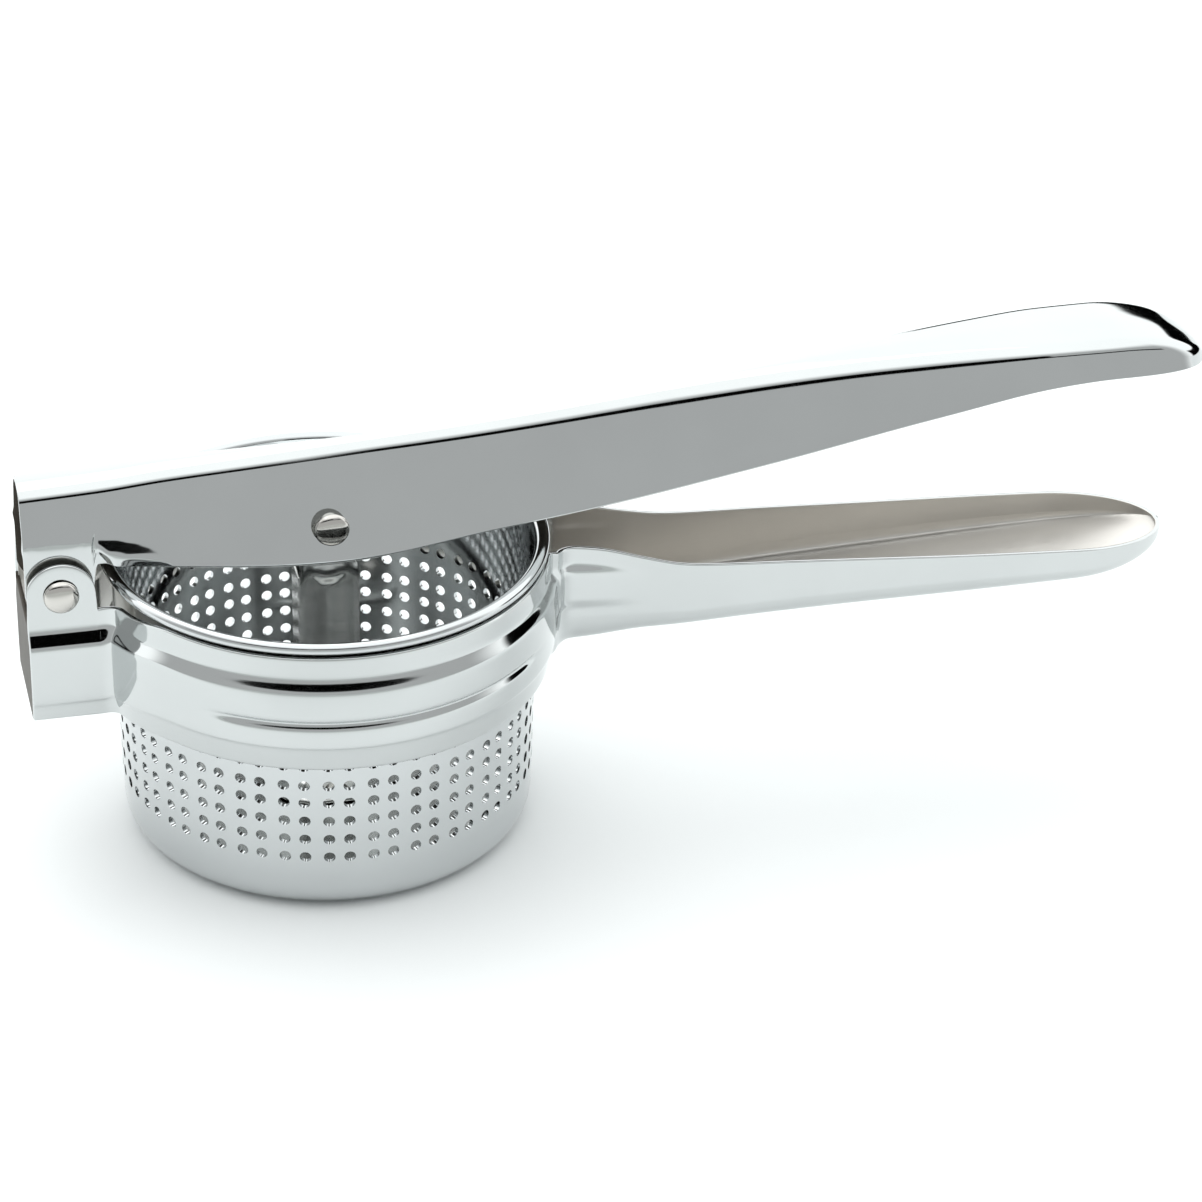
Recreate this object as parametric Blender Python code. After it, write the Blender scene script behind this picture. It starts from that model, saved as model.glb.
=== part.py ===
"""Hand-held potato ricer in pressed chrome-plated steel: a frame with a perforated basket, and a lever with a plunger.

Frame of reference: the origin is the centre of the basket's flat bottom, +Z is up, +X runs from the basket towards
the grips, and the object is symmetric about the XZ plane. Each sheet-metal part is one surface, drawn for y <= 0,
mirrored across y = 0 and thickened inwards.
"""

import math

import bmesh
import bpy
from mathutils import Vector

MM = 0.001

# Sheet metal
SHEET = 1.0 * MM
RUNNING_GAP = 0.3 * MM

# Basket
BASKET_RADIUS = 44.0 * MM
BASKET_TAPER = 1.0 * MM
BASKET_CORNER = 6.2 * MM
RIM_HEIGHT = 64.0 * MM
BEAD_RADIUS = 1.15 * MM

# Collar of the frame, from the rim down: neck ring, step, bulge, rib, bulge, crease, skirt
BULGE_RADIUS = 48.1 * MM
NECK_RING_INSET = 1.5 * MM
SKIRT_INSET = 1.4 * MM
RIB_DEPTH = 0.9 * MM
RIB_START_ANGLE = math.radians(-128)
RIB_END_ANGLE = math.radians(-34)
COLLAR_LEVELS = [z * MM for z in (62.4, 57.5, 54.7, 48.9, 48.0, 46.3, 42.6, 36.6)]
BRACKET_LEVELS = [z * MM for z in (58.6, 54.6, 51.4, 46.0, 45.1, 43.4, 38.6, 34.6)]

# Bracket of the frame, which carries the hinge
END_X = -62.6 * MM
BRACKET_HALF_WIDTH = 13.0 * MM
BRACKET_SKIRT_INSET = 0.6 * MM
EAR_INSET = 2.0 * MM
EAR_RADIUS = 7.1 * MM
WEB_TOP = 55.8 * MM
BRACKET_FILLET = 2.5 * MM

# Lower handle of the frame: (x, height or half-width) stations in millimetres
NECK_HALF_WIDTH = 9.4 * MM
NECK_FILLET = 5.0 * MM
PANEL_HEIGHT = 0.7 * MM
PANEL_END = 66.0 * MM
HANDLE_TOP = [(47, 61.4), (56, 60.3), (66, 57.5), (75, 55.4), (97, 54.0), (131, 51.8), (160, 50.1), (183, 48.6)]
HANDLE_BOTTOM = [(45, 36.6), (66, 38.4), (93, 39.8), (133, 40.6), (160, 41.2), (183, 41.6)]
HANDLE_HALF_WIDTH = [(51, 9.4), (56, 9.9), (66, 10.9), (75, 11.8), (112, 12.8), (150, 13.6), (183, 13.6)]
HANDLE_TIP_START = 160.0 * MM
HANDLE_TIP = 183.0 * MM

# Joints
HINGE_X = -55.5 * MM
HINGE_Z = 62.4 * MM
PLUNGER_X = 0.0
PLUNGER_Z = 71.0 * MM
PIN_RADIUS = 2.4 * MM
PIN_HOLE_RADIUS = 2.8 * MM
SLEEVE_RADIUS = 3.7 * MM
RIVET_HEAD_RADIUS = 3.6 * MM
RIVET_HEAD_HEIGHT = 1.6 * MM
LEVER_RIVET_FACE = 9.9 * MM

# Lever: (x, height, half-width or share) stations in millimetres
LEVER_CREST = [(-63, 83.7), (-46, 84.3), (-33, 85.1), (-15, 85.7), (16, 86.9), (41, 88.6), (66, 90.9), (91, 93.7),
               (116, 96.1), (141, 97.6), (153, 97.9), (166, 97.9), (178, 97.0), (188, 94.0)]
LEVER_EDGE = [(-46, 67.6), (0, 63.2), (2, 63.2), (35, 67.4), (56, 70.3), (90, 76.6), (128, 84.9), (153, 89.4),
              (166, 90.2), (188, 89.4)]
LEVER_HALF_WIDTH = [(-63, 10.3), (-46, 10.2), (-33, 10.2), (40, 10.2), (80, 10.8), (110, 11.9), (140, 12.9),
                    (166, 13.0)]
LEVER_TOP_HALF_WIDTH = [(-63, 5.0), (-46, 4.7), (-33, 4.3), (-15, 3.7), (16, 2.7), (41, 2.6), (66, 2.5), (91, 3.2),
                        (116, 5.4), (141, 8.6), (153, 10.4), (166, 10.8)]
LEVER_NOSE_START = 166.0 * MM
LEVER_NOSE_POWER = 0.6
LEVER_TIP = 188.0 * MM
LEVER_TOP_DROP = 0.5 * MM
LEVER_CORNER_REACH = 2.6 * MM
LEVER_LOBE_RADIUS = 7.0 * MM
LEVER_LUG_RADIUS = 11.3 * MM
LEVER_LUG_HALF_WIDTH = 8.7 * MM
LEVER_FLARE_CENTER = -52.0 * MM
LEVER_FLARE_REACH = 19.0 * MM
LEVER_FLARE_LEVELS = (67.2 * MM, 6.5 * MM)
LEVER_FLARE_SLOPE = 0.21
LEVER_FLARE_LIMIT = [(-63, 9.3), (-52, 9.5), (-42, 10.2)]

# Plunger
STEM_HALF_WIDTH = 6.3 * MM
STEM_HALF_DEPTH = 5.4 * MM
STEM_EAR_HALF_DEPTH = 4.4 * MM
STEM_WEB_TOP = 57.0 * MM
EAR_BEND_TOP = 61.0 * MM
EAR_BEND_FOOT = 57.5 * MM
STEM_RIB_DEPTH = 1.6 * MM
DISC_RADIUS = 39.6 * MM
DISC_CENTER_X = -0.8 * MM
DISC_BOTTOM = 6.0 * MM
DISC_LIP_HEIGHT = 4.0 * MM
FOOT_LENGTH = 8.0 * MM
FOOT_RIVET_DISTANCE = 10.2 * MM
FOOT_RIVET_RADIUS = 1.5 * MM

# How finely the sheets are divided
COLLAR_STEPS = 24
FLOOR_ROWS = 4
FLOOR_SQUARENESS = 3.2
LEVER_CROWN_ROWS = 4
LEVER_WALL_ROWS = 8


def clear_scene():
    for item in list(bpy.data.objects):
        bpy.data.objects.remove(item, do_unlink=True)


def smooth(value, start, end):
    """0 before start, 1 after end, with a smooth rise between."""
    share = min(max((value - start) / (end - start), 0.0), 1.0)
    return share * share * (3 - 2 * share)


def along(x, stations):
    """The height or width at x, on a smooth curve through stations given in millimetres."""
    return share_along(x, stations) * MM


def share_along(x, stations):
    return curve_through(x, [s[0] * MM for s in stations], [s[1] for s in stations])


def curve_through(x, xs, ys):
    if x <= xs[0]:
        return ys[0]
    if x >= xs[-1]:
        return ys[-1]
    slopes = [(ys[i + 1] - ys[i]) / (xs[i + 1] - xs[i]) for i in range(len(xs) - 1)]
    tangents = [slopes[0]]
    for before, after in zip(slopes, slopes[1:]):
        tangents.append(0.0 if before * after <= 0 else 2 * before * after / (before + after))
    tangents.append(slopes[-1])
    i = max(k for k in range(len(xs) - 1) if xs[k] <= x)
    step = xs[i + 1] - xs[i]
    t = (x - xs[i]) / step
    rise = (2 * t**3 - 3 * t**2 + 1) * ys[i] + (3 * t**2 - 2 * t**3) * ys[i + 1]
    lean = (t**3 - 2 * t**2 + t) * tangents[i] + (t**3 - t**2) * tangents[i + 1]
    return rise + step * lean


def rounded(share, squareness):
    """(across, down) from 0 to 1 along a rounded quarter outline, first down its wall and then across its floor."""
    angle = share * math.pi / 2
    power = 2 / squareness
    return 1 - math.cos(angle) ** power if share < 1 else 1.0, math.sin(angle) ** power


def metal(name, color, roughness):
    material = bpy.data.materials.new(name)
    material.use_nodes = True
    shader = material.node_tree.nodes["Principled BSDF"]
    shader.inputs["Base Color"].default_value = (*color, 1)
    shader.inputs["Metallic"].default_value = 1.0
    shader.inputs["Roughness"].default_value = roughness
    return material


def add_object(name, mesh, material):
    item = bpy.data.objects.new(name, mesh)
    bpy.context.scene.collection.objects.link(item)
    mesh.materials.append(material)
    return item


def mesh_from_grid(name, columns):
    """A surface through a grid of points; points that coincide become one."""
    mesh = bpy.data.meshes.new(name)
    bm = bmesh.new()
    grid = [[bm.verts.new(point) for point in column] for column in columns]
    for left, right in zip(grid, grid[1:]):
        for i in range(len(left) - 1):
            bm.faces.new((left[i], left[i + 1], right[i + 1], right[i]))
    bmesh.ops.remove_doubles(bm, verts=bm.verts, dist=0.00002)
    bm.to_mesh(mesh)
    bm.free()
    return mesh


def pressed_sheet(name, columns, origin, material):
    """One pressed sheet: the surface for y <= 0, mirrored and thickened inwards."""
    moved = [[Vector(point) - origin for point in column] for column in columns]
    item = add_object(name, mesh_from_grid(name, moved), material)
    item.location = origin
    mirror = item.modifiers.new("other_half", "MIRROR")
    mirror.use_axis = (False, True, False)
    mirror.merge_threshold = 0.00001
    thickness = item.modifiers.new("sheet", "SOLIDIFY")
    thickness.thickness = SHEET
    thickness.offset = -1
    thickness.use_quality_normals = True
    item.data.shade_smooth()
    return item


def turned(name, profile, center, axis, material, steps):
    """A profile of (radius, height) points, closed or ending on its axis, turned about an axis through center."""
    mesh = bpy.data.meshes.new(name)
    bm = bmesh.new()
    ring = [bm.verts.new((radius, 0, height)) for radius, height in profile]
    ends = ring[1:] if profile[0][0] == 0 else ring[1:] + ring[:1]
    edges = [bm.edges.new(pair) for pair in zip(ring, ends)]
    bmesh.ops.spin(bm, geom=ring + edges, cent=(0, 0, 0), axis=(0, 0, 1), angle=math.tau, steps=steps,
                   use_merge=True)
    bmesh.ops.remove_doubles(bm, verts=bm.verts, dist=0.00001)
    bmesh.ops.recalc_face_normals(bm, faces=bm.faces)
    bm.to_mesh(mesh)
    bm.free()
    item = add_object(name, mesh, material)
    item.location = center
    item.rotation_euler = Vector(axis).to_track_quat("Z", "Y").to_euler()
    mesh.shade_smooth()
    mesh.set_sharp_from_angle(angle=math.radians(40))
    return item


def cut_hole(target, name, center, radius, turn):
    """A round hole straight through a sheet part, along Z or, with turn, along Y."""
    bpy.ops.mesh.primitive_cylinder_add(vertices=20, radius=radius, depth=40 * MM, location=center,
                                        rotation=(turn, 0, 0))
    cutter = bpy.context.object
    cutter.name = name
    cutter.hide_render = True
    cutter.display_type = "WIRE"
    hole = target.modifiers.new(name, "BOOLEAN")
    hole.operation = "DIFFERENCE"
    hole.object = cutter


def wall_column(point, out, top, collar_share, rib_share):
    """One upright strip of the frame, from its upper edge over step, rib and crease to the skirt's lower edge."""
    levels = [b + (c - b) * collar_share for b, c in zip(BRACKET_LEVELS, COLLAR_LEVELS)]
    ring = EAR_INSET + (NECK_RING_INSET - EAR_INSET) * collar_share
    skirt = BRACKET_SKIRT_INSET + (SKIRT_INSET - BRACKET_SKIRT_INSET) * collar_share
    heights = [top, levels[1] + 0.5 * (top - levels[1])] + levels[1:7]
    insets = [ring, ring, ring, 0, 0, RIB_DEPTH * rib_share, 0, 0]
    for i in range(1, FLOOR_ROWS + 1):
        heights.append(levels[6] + (levels[7] - levels[6]) * i / FLOOR_ROWS)
        insets.append(skirt * i / FLOOR_ROWS)
    return [(point[0] - out[0] * inset, point[1] - out[1] * inset, height)
            for height, inset in zip(heights, insets)]


def ear_top(x):
    """Upper edge of the bracket: a round ear about the hinge, then a low edge up to the collar."""
    if x > HINGE_X + 0.99 * EAR_RADIUS:
        return BRACKET_LEVELS[0]
    return HINGE_Z + math.sqrt(max(EAR_RADIUS**2 - (x - HINGE_X) ** 2, 0.0))


def fillet_center(half_width, fillet, side):
    """Centre of the hollow fillet between the collar and a straight wall at y = -half_width."""
    y = -(half_width + fillet)
    return Vector((side * math.sqrt((BULGE_RADIUS + fillet) ** 2 - y**2), y))


def bracket_columns():
    """Flat end web, then the ear and the straight wall, up to the collar's fillet."""
    columns = [[(END_X, y, point[2]) for point in wall_column((END_X, y), (-1, 0), WEB_TOP, 0, 0)]
               for y in (0.0, -0.4 * BRACKET_HALF_WIDTH, -0.77 * BRACKET_HALF_WIDTH)]
    steps = 9
    for i in range(steps + 1):
        x = HINGE_X - EAR_RADIUS * math.cos(math.pi * i / steps)
        columns.append(wall_column((x, -BRACKET_HALF_WIDTH), (0, -1), ear_top(x), 0, 0))
    return columns


def collar_columns():
    """Hollow fillet from the bracket, round the front of the collar, and the hollow fillet at the neck."""
    columns = []
    left = fillet_center(BRACKET_HALF_WIDTH, BRACKET_FILLET, -1)
    right = fillet_center(NECK_HALF_WIDTH, NECK_FILLET, 1)
    left_angle = math.atan2(left.y, left.x)
    right_angle = math.atan2(right.y, right.x)
    for i in range(3):
        turn = math.pi / 2 + (left_angle + math.pi / 2) * i / 3
        out = -Vector((math.cos(turn), math.sin(turn)))
        share = 0.1 * i
        top = BRACKET_LEVELS[0] + (COLLAR_LEVELS[0] - BRACKET_LEVELS[0]) * share
        columns.append(wall_column(left - out * BRACKET_FILLET, out, top, share, 0))
    for i in range(COLLAR_STEPS + 1):
        angle = left_angle + (right_angle - left_angle) * i / COLLAR_STEPS
        out = Vector((math.cos(angle), math.sin(angle)))
        share = 0.3 + 0.7 * smooth(angle, left_angle, left_angle + math.radians(22))
        top = BRACKET_LEVELS[0] + (COLLAR_LEVELS[0] - BRACKET_LEVELS[0]) * share
        rib = smooth(angle, RIB_START_ANGLE, RIB_START_ANGLE + math.radians(8))
        rib *= 1 - smooth(angle, RIB_END_ANGLE - math.radians(8), RIB_END_ANGLE)
        columns.append(wall_column(out * BULGE_RADIUS, out, top, share, rib))
    return columns


def trough_column(wall, out, floor_end, fade):
    """One cross-section of the neck or grip: straight wall rows, then a rounded corner down to floor_end."""
    top = along(wall[0], HANDLE_TOP)
    shoulder = floor_end[2] + (top - floor_end[2]) * (0.30 + 0.15 * fade)
    panel = PANEL_HEIGHT * (1 - smooth(wall[0], 50 * MM, PANEL_END))
    rows = []
    for share, bulge in zip((0, 0.12, 0.25, 0.40, 0.60, 0.75, 0.88, 1.0), (0, 0, 0, panel, panel, panel, 0, 0)):
        rows.append((wall[0] + out[0] * bulge, wall[1] + out[1] * bulge, top + (shoulder - top) * share))
    for i in range(1, FLOOR_ROWS + 1):
        across, down = rounded(i / FLOOR_ROWS, FLOOR_SQUARENESS)
        rows.append((wall[0] + (floor_end[0] - wall[0]) * across, wall[1] + (floor_end[1] - wall[1]) * across,
                     shoulder + (floor_end[2] - shoulder) * down))
    return rows


def neck_columns():
    """The neck's walls with the floor's front edge, which follows the basket's opening."""
    columns = []
    right = fillet_center(NECK_HALF_WIDTH, NECK_FILLET, 1)
    start = math.atan2(right.y, right.x)
    steps = 4
    edge_radius = BULGE_RADIUS - SKIRT_INSET
    for i in range(1, steps + 1):
        turn = start + math.pi - (start + math.pi / 2) * i / steps
        out = -Vector((math.cos(turn), math.sin(turn)))
        wall = right - out * NECK_FILLET
        angle = start * (1 - i / steps)
        end = (edge_radius * math.cos(angle), edge_radius * math.sin(angle), COLLAR_LEVELS[7])
        columns.append(trough_column(wall, out, end, 0))
    return columns


def handle_columns():
    """The trough of the lower handle, with a rounded spoon-like tip."""
    columns = []
    first = fillet_center(NECK_HALF_WIDTH, NECK_FILLET, 1).x
    edge_radius = BULGE_RADIUS - SKIRT_INSET
    for x in (54 * MM, 58 * MM, 62 * MM, 66 * MM, 71 * MM, 78 * MM, 90 * MM, 104 * MM, 120 * MM, 136 * MM, 150 * MM):
        catch_up = smooth(x, first, 66 * MM)
        end_x = edge_radius + (x - edge_radius) * catch_up
        end = (end_x, 0.0, along(end_x, HANDLE_BOTTOM))
        wall = (x, -along(x, HANDLE_HALF_WIDTH))
        columns.append(trough_column(wall, (0, -1), end, smooth(x, 56 * MM, 150 * MM)))
    steps = 7
    for i in range(steps + 1):
        angle = math.pi / 2 * i / steps
        x = HANDLE_TIP_START + (HANDLE_TIP - HANDLE_TIP_START) * math.sin(angle)
        top = along(x, HANDLE_TOP)
        share = math.cos(angle) if i < steps else 0.0
        end = (x, 0.0, top - (top - along(x, HANDLE_BOTTOM)) * share)
        columns.append(trough_column((x, -along(x, HANDLE_HALF_WIDTH) * share), (0, -1), end, 1))
    return columns


def make_frame(material):
    columns = bracket_columns() + collar_columns() + neck_columns() + handle_columns()
    frame = pressed_sheet("frame", columns, Vector((0, 0, 0)), material)
    cut_hole(frame, "hinge_hole_cutter", (HINGE_X, 0, HINGE_Z), PIN_HOLE_RADIUS, math.pi / 2)
    return frame


def lever_low_edge(x):
    """Lower edge of the lever: a round lobe about the hinge, then the long tapering edge."""
    reach = LEVER_LOBE_RADIUS**2 - (x - HINGE_X) ** 2
    if x < HINGE_X + LEVER_LOBE_RADIUS - 0.05 * MM:
        return HINGE_Z - math.sqrt(max(reach, 0.0))
    return along(x, LEVER_EDGE)


def lever_wall(x, z, plane):
    """Half-width of the leaning wall, with the flare beside the hinge and the upright lug around it."""
    if x > LEVER_FLARE_CENTER + LEVER_FLARE_REACH:
        return plane
    offset = max(x - LEVER_FLARE_CENTER, 0.0) / LEVER_FLARE_REACH
    flare_top = LEVER_FLARE_LEVELS[0] + LEVER_FLARE_LEVELS[1] * math.sqrt(max(1 - offset**2, 0.0))
    flared = plane + LEVER_FLARE_SLOPE * max(flare_top - z, 0.0)
    distance = math.hypot(x - HINGE_X, z - HINGE_Z)
    share = smooth(distance, LEVER_LUG_RADIUS, LEVER_LUG_RADIUS + 1.0 * MM)
    flared = max(plane, min(flared, along(x, LEVER_FLARE_LIMIT)))
    return flared - max(flared - LEVER_LUG_HALF_WIDTH, 0.0) * (1.0 - share)


def rounded_corner(start, corner, end, reach, steps):
    """Points of a smooth bend from start to end round a corner."""
    first = corner + (start - corner) * min(reach / (start - corner).length, 0.8)
    last = corner + (end - corner) * min(reach / (end - corner).length, 0.45)
    shares = [i / steps for i in range(steps + 1)]
    return [first * (1 - t) ** 2 + corner * (2 * t * (1 - t)) + last * t**2 for t in shares]


def lever_column(x, share):
    """Half a cross-section of the lever at x, from crest to lower edge; share shrinks it towards the nose's tip."""
    low = lever_low_edge(x)
    edge = max(low, along(x, LEVER_EDGE))
    crest = edge + (along(x, LEVER_CREST) - edge) * share
    half = along(x, LEVER_HALF_WIDTH) * share
    top_half = along(x, LEVER_TOP_HALF_WIDTH) * share
    if share == 0.0:
        return [(x, 0.0, low)] * (LEVER_CROWN_ROWS + LEVER_WALL_ROWS + 4)
    top = Vector((0.0, crest))
    corner = Vector((top_half, crest - LEVER_TOP_DROP * share))
    foot = Vector((half, edge))
    bend = rounded_corner(top, corner, foot, LEVER_CORNER_REACH * (0.3 + 0.7 * share), LEVER_CROWN_ROWS)
    rows = [(x, 0.0, crest), (x, -0.5 * bend[0].x, 0.5 * (crest + bend[0].y))]
    rows += [(x, -point.x, point.y) for point in bend]
    start = bend[-1]
    for i in range(1, LEVER_WALL_ROWS + 2):
        part = min(i, LEVER_WALL_ROWS) / LEVER_WALL_ROWS if i != LEVER_WALL_ROWS else 1 - 0.35 / LEVER_WALL_ROWS
        z = start.y + (low - start.y) * part
        plane = start.x + (foot.x - start.x) * (start.y - z) / (start.y - foot.y)
        rows.append((x, -lever_wall(x, z, plane), z))
    return rows


def make_lever(material):
    columns = []
    reach = LEVER_LOBE_RADIUS - 0.1 * MM
    steps = 9
    for i in range(steps + 1):
        columns.append(lever_column(HINGE_X - reach * math.cos(math.pi * i / steps), 1))
    x = -48.0
    while x < 164:
        columns.append(lever_column(x * MM, 1))
        x += 2.0 if x < -34 else 11.0
    steps = 8
    for i in range(steps + 1):
        angle = math.pi / 2 * i / steps
        x = LEVER_NOSE_START + (LEVER_TIP - LEVER_NOSE_START) * math.sin(angle)
        columns.append(lever_column(x, math.cos(angle) ** LEVER_NOSE_POWER if i < steps else 0.0))
    lever = pressed_sheet("lever", columns, Vector((HINGE_X, 0, HINGE_Z)), material)
    cut_hole(lever, "lever_hinge_cutter", (HINGE_X, 0, HINGE_Z), PIN_HOLE_RADIUS, math.pi / 2)
    cut_hole(lever, "lever_plunger_cutter", (PLUNGER_X, 0, PLUNGER_Z), PIN_HOLE_RADIUS, math.pi / 2)
    return lever


def make_basket(material):
    """Plain-walled pressed cup; its rolled bead rests on the collar."""
    top_radius = BASKET_RADIUS
    low_radius = BASKET_RADIUS - BASKET_TAPER
    inner_corner = BASKET_CORNER - SHEET
    bead_center = BASKET_RADIUS + 1.4 * MM
    profile = [(0.0, 0.0), (low_radius - BASKET_CORNER, 0.0)]
    for i in range(1, 5):
        angle = math.pi / 2 * i / 4
        profile.append((low_radius - BASKET_CORNER * (1 - math.sin(angle)), BASKET_CORNER * (1 - math.cos(angle))))
    profile.append((top_radius, RIM_HEIGHT - BEAD_RADIUS))
    for degrees in (-130, -80, -30, 20, 70, 110, 150):
        angle = math.radians(degrees)
        profile.append((bead_center + BEAD_RADIUS * math.cos(angle), RIM_HEIGHT + BEAD_RADIUS * math.sin(angle)))
    profile.append((top_radius - SHEET, RIM_HEIGHT))
    for i in range(4, 0, -1):
        angle = math.pi / 2 * i / 4
        profile.append((low_radius - BASKET_CORNER + inner_corner * math.sin(angle),
                        BASKET_CORNER - inner_corner * math.cos(angle)))
    profile += [(low_radius - BASKET_CORNER, SHEET), (0.0, SHEET)]
    return turned("basket", profile, (0, 0, 0), (0, 0, 1), material, 48)


def make_disc(material):
    """Pressing disc: a flat plate with a turned-up lip."""
    low = DISC_BOTTOM
    profile = [(0.0, low), (DISC_RADIUS - 3 * MM, low), (DISC_RADIUS - 0.9 * MM, low + 0.9 * MM),
               (DISC_RADIUS, low + 3 * MM), (DISC_RADIUS, low + DISC_LIP_HEIGHT),
               (DISC_RADIUS - SHEET, low + DISC_LIP_HEIGHT), (DISC_RADIUS - SHEET - 0.2 * MM, low + 3 * MM),
               (DISC_RADIUS - 3.4 * MM, low + SHEET), (0.0, low + SHEET)]
    return turned("plunger_disc", profile, (DISC_CENTER_X, 0, 0), (0, 0, 1), material, 40)


def stem_column(point, out, ear):
    """One upright strip of the plunger stem, from its upper edge down and outwards along the foot."""
    foot_top = DISC_BOTTOM + SHEET + RUNNING_GAP + SHEET
    reach = max(STEM_HALF_WIDTH**2 - (point[0] - PLUNGER_X) ** 2, 0.0)
    top = PLUNGER_Z + math.sqrt(reach) if ear else STEM_WEB_TOP
    rib = STEM_RIB_DEPTH * (1 - smooth(abs(point[0] - PLUNGER_X), 0, 0.75 * STEM_HALF_WIDTH)) if ear else 0.0
    flare = STEM_EAR_HALF_DEPTH - STEM_HALF_DEPTH if ear else 0.0
    if ear:
        rows = [(top, flare), (0.5 * (top + EAR_BEND_TOP), flare), (EAR_BEND_TOP, flare), (EAR_BEND_FOOT, -rib)]
    else:
        rows = [(top - step * 0.3 * MM, 0.0) for step in range(4)]
    rows += [(30 * MM, -rib), (foot_top + 3 * MM, -rib), (foot_top + 1 * MM, 0.0), (foot_top, 1 * MM),
             (foot_top, FOOT_LENGTH)]
    return [(point[0] + out[0] * shift, point[1] + out[1] * shift, height) for height, shift in rows]


def make_stem(material):
    """A channel of folded sheet, open towards the grips, with ears on the plunger rivet and a flat foot."""
    left = PLUNGER_X - STEM_HALF_WIDTH
    columns = [stem_column((left, y), (-1, 0), False) for y in (0.0, -STEM_HALF_DEPTH + 1 * MM)]
    columns.append(stem_column((left + 0.3 * MM, -STEM_HALF_DEPTH + 0.3 * MM), (-0.7, -0.7), False))
    for share in (-0.84, -0.55, -0.25, 0.0, 0.25, 0.55, 0.84, 1.0):
        x = PLUNGER_X + share * STEM_HALF_WIDTH
        columns.append(stem_column((x, -STEM_HALF_DEPTH), (0, -1), True))
    stem = pressed_sheet("plunger_stem", columns, Vector((PLUNGER_X, 0, PLUNGER_Z)), material)
    cut_hole(stem, "stem_pin_cutter", (PLUNGER_X, 0, PLUNGER_Z), PIN_HOLE_RADIUS, math.pi / 2)
    return stem


def foot_rivet_places():
    """The three rivets that hold the stem's foot on the disc."""
    left = PLUNGER_X - FOOT_RIVET_DISTANCE - (STEM_HALF_WIDTH - STEM_HALF_DEPTH)
    return {
        "foot_rivet_near": (PLUNGER_X, -FOOT_RIVET_DISTANCE, 0),
        "foot_rivet_far": (PLUNGER_X, FOOT_RIVET_DISTANCE, 0),
        "foot_rivet_left": (left, 0, 0),
    }


def dome(radius, height, base, sign):
    """Points of a low domed head, from its rim to the axis."""
    points = []
    for i in range(4):
        angle = math.pi / 2 * i / 4
        points.append((radius * math.cos(angle), base + sign * (0.25 + 0.75 * math.sin(angle)) * height))
    return points + [(0.0, base + sign * height)]


def rivet(name, center, axis, low, high, radius, head_radius, head_height, material):
    """A solid rivet whose shank runs from low to high along its axis, with a domed head at each end."""
    lower = dome(head_radius, head_height, low, -1)[::-1]
    upper = dome(head_radius, head_height, high, 1)
    profile = lower + [(head_radius, low), (radius, low), (radius, high), (head_radius, high)] + upper
    return turned(name, profile, center, axis, material, 16)


def sleeve(name, x, z, half_length, material):
    """Spacer tube on a rivet, between two sheet walls."""
    profile = [(PIN_HOLE_RADIUS, -half_length), (SLEEVE_RADIUS, -half_length), (SLEEVE_RADIUS, half_length),
               (PIN_HOLE_RADIUS, half_length)]
    return turned(name, profile, (x, 0, z), (0, -1, 0), material, 16)


def make_fasteners(material):
    ear_face = BRACKET_HALF_WIDTH - EAR_INSET + RUNNING_GAP
    rivet("hinge_rivet", (HINGE_X, 0, HINGE_Z), (0, -1, 0), -ear_face, ear_face, PIN_RADIUS, RIVET_HEAD_RADIUS,
          RIVET_HEAD_HEIGHT, material)
    sleeve("hinge_sleeve", HINGE_X, HINGE_Z, LEVER_LUG_HALF_WIDTH - SHEET - 2 * RUNNING_GAP, material)
    rivet("plunger_rivet", (PLUNGER_X, 0, PLUNGER_Z), (0, -1, 0), -LEVER_RIVET_FACE, LEVER_RIVET_FACE, PIN_RADIUS,
          RIVET_HEAD_RADIUS, RIVET_HEAD_HEIGHT, material)
    sleeve("plunger_sleeve", PLUNGER_X, PLUNGER_Z, STEM_EAR_HALF_DEPTH - SHEET - RUNNING_GAP, material)
    low = DISC_BOTTOM - RUNNING_GAP
    high = DISC_BOTTOM + 2 * SHEET + 2 * RUNNING_GAP
    for name, place in foot_rivet_places().items():
        rivet(name, place, (0, 0, 1), low, high, FOOT_RIVET_RADIUS, 2.6 * MM, 1.0 * MM, material)


def main():
    clear_scene()
    chrome = metal("chrome", (0.78, 0.79, 0.80), 0.08)
    inner_steel = metal("inner_steel", (0.55, 0.55, 0.55), 0.25)
    make_frame(chrome)
    make_basket(metal("basket_chrome", (0.76, 0.77, 0.78), 0.12))
    make_lever(metal("lever_chrome", (0.80, 0.80, 0.80), 0.08))
    stem = make_stem(metal("stem_chrome", (0.74, 0.75, 0.76), 0.12))
    disc = make_disc(metal("disc_chrome", (0.74, 0.75, 0.76), 0.12))
    for name, place in foot_rivet_places().items():
        for part in (stem, disc):
            center = (place[0], place[1], DISC_BOTTOM)
            cut_hole(part, f"{part.name}_{name}_cutter", center, FOOT_RIVET_RADIUS + RUNNING_GAP, 0)
    make_fasteners(inner_steel)


if __name__ == "__main__":
    main()
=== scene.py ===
"""Looks of the hand-held potato ricer: chrome-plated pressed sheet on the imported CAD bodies.

Each pressed sheet is a grid of points for y <= 0, mirrored across y = 0, thickened inwards and subdivided. The origin
is the centre of the basket's bottom, +Z is up and +X runs towards the grips.
"""

import math

import bmesh
import bpy
from mathutils import Matrix, Vector
from mathutils.geometry import delaunay_2d_cdt


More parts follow.
